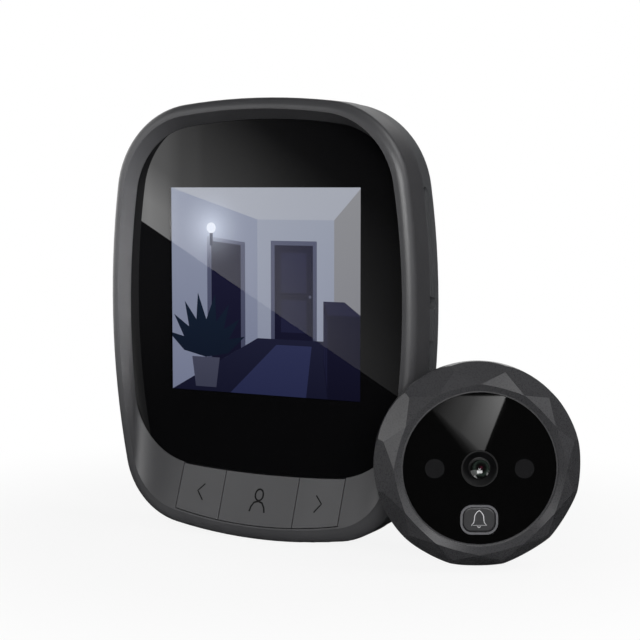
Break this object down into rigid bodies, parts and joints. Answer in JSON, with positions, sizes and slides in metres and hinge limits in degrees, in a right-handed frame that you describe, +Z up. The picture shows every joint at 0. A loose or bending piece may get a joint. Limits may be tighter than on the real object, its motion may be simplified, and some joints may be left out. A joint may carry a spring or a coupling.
{
  "type": "digital door viewer",
  "caption": "Digital door viewer: crowned indoor monitor with a dished front and keys in its lower band, on a hook bracket, beside a faceted round outdoor camera with a bell push.",
  "frame": {"origin": "centre of the wall bracket's tube hole, in the plane of the door's inside face", "axes": "+X to the right as the monitor is looked at, +Y back towards the door, +Z up"},
  "size_m": [0.1367, 0.0609, 0.1222],
  "materials": {
    "case_black": "moulded black plastic, fine satin texture",
    "case_grey": "moulded dark grey plastic, fine spark texture",
    "bezel_black": "moulded dark plastic, satin facets",
    "black_plastic": "moulded black plastic",
    "white_plastic": "moulded natural nylon",
    "bell_grey": "moulded grey plastic, satin",
    "display_glass": "polished cover glass, printed black border",
    "camera_glass": "polished black acrylic",
    "lens_glass": "coated lens glass",
    "lamp_epoxy": "clear moulded epoxy",
    "picture": "lit display panel",
    "circuit_board": "green solder mask on glass fibre board",
    "sheet_steel": "stamped plated sheet steel",
    "screw_steel": "zinc plated steel",
    "plated_brass": "nickel plated brass",
    "gold_contact": "gold flashed spring bronze",
    "battery_wrap": "shrink wrapped cell",
    "gasket_rubber": "soft black rubber"
  },
  "bodies": {
    "kit": {"front_frame": "case_black", "display_glass": "display_glass", "picture_panel": "picture", "panel_tray": "sheet_steel", "key_switches": "sheet_steel", "key_board": "circuit_board", "main_board": "circuit_board", "board_chips": "black_plastic", "camera_socket": "white_plastic", "card_socket": "sheet_steel", "usb_socket": "sheet_steel", "reset_switch": "black_plastic", "power_switch": "black_plastic", "rear_cover": "case_grey", "battery_pack": "battery_wrap", "contact_block": "black_plastic", "contact_blades": "gold_contact", "speaker": "black_plastic", "case_screws": "screw_steel", "board_screws": "screw_steel", "key_board_screws": "screw_steel", "camera_bezel": "bezel_black", "camera_glass": "camera_glass", "camera_plate": "case_black", "plate_screws": "screw_steel", "camera_gasket": "gasket_rubber", "threaded_tube": "plated_brass", "camera_board": "circuit_board", "camera_board_screws": "screw_steel", "ribbon_socket": "white_plastic", "image_sensor": "black_plastic", "lens_holder": "black_plastic", "lens_ring": "bezel_black", "lens_barrel": "black_plastic", "rear_lens": "lens_glass", "front_lens": "lens_glass", "infrared_lamps": "lamp_epoxy", "bell_trim": "bell_grey", "bell_switch": "sheet_steel"},
    "left_key": {"left_key": "case_black", "left_plunger": "black_plastic"},
    "view_key": {"view_key": "case_black", "view_plunger": "black_plastic"},
    "right_key": {"right_key": "case_black", "right_plunger": "black_plastic"},
    "reset_button": {"reset_button": "black_plastic"},
    "power_slider": {"power_slider": "black_plastic"},
    "battery_door": {"battery_door": "case_grey"},
    "wall_bracket": {"wall_bracket": "sheet_steel"},
    "bell_button": {"bell_button": "bell_grey", "bell_plunger": "black_plastic"},
    "clamp_washer": {"clamp_washer": "screw_steel"},
    "clamp_nut": {"clamp_nut": "plated_brass"}
  },
  "joints": [
    {"name": "left_key_press", "type": "slide", "parent": "kit", "child": "left_key", "axis": [0, 1, 0], "range_m": [0, 0.0004], "stiffness_N_per_m": 600},
    {"name": "view_key_press", "type": "slide", "parent": "kit", "child": "view_key", "axis": [0, 1, 0], "range_m": [0, 0.0004], "stiffness_N_per_m": 600},
    {"name": "right_key_press", "type": "slide", "parent": "kit", "child": "right_key", "axis": [0, 1, 0], "range_m": [0, 0.0004], "stiffness_N_per_m": 600},
    {"name": "reset_press", "type": "slide", "parent": "kit", "child": "reset_button", "axis": [-1, 0, 0], "range_m": [0, 0.0003], "stiffness_N_per_m": 600},
    {"name": "bell_press", "type": "slide", "parent": "kit", "child": "bell_button", "axis": [-0.4695, 0.8829, 0], "range_m": [0, 0.0006], "stiffness_N_per_m": 600},
    {"name": "power_slide", "type": "slide", "parent": "kit", "child": "power_slider", "axis": [0, 0, 1], "range_m": [0, 0.003]},
    {"name": "battery_door_slide", "type": "slide", "parent": "kit", "child": "battery_door", "axis": [0, 0, -1], "range_m": [0, 0.008]},
    {"name": "bracket_unhook", "type": "slide", "parent": "kit", "child": "wall_bracket", "axis": [0, 0, -1], "range_m": [0, 0.0044]},
    {"name": "washer_slide", "type": "slide", "parent": "kit", "child": "clamp_washer", "axis": [-0.4695, 0.8829, 0], "range_m": [-0.0051, 0.0251]},
    {"name": "nut_turn", "type": "hinge", "parent": "clamp_washer", "child": "clamp_nut", "pos_m": [0.05871, -0.00471, -0.0483], "axis": [-0.4695, 0.8829, 0], "range_deg": [-1800, 9000]}
  ],
  "couplings": [
    {"joint": "washer_slide", "follows": "nut_turn", "m_per_rad": 0.00015915}
  ]
}
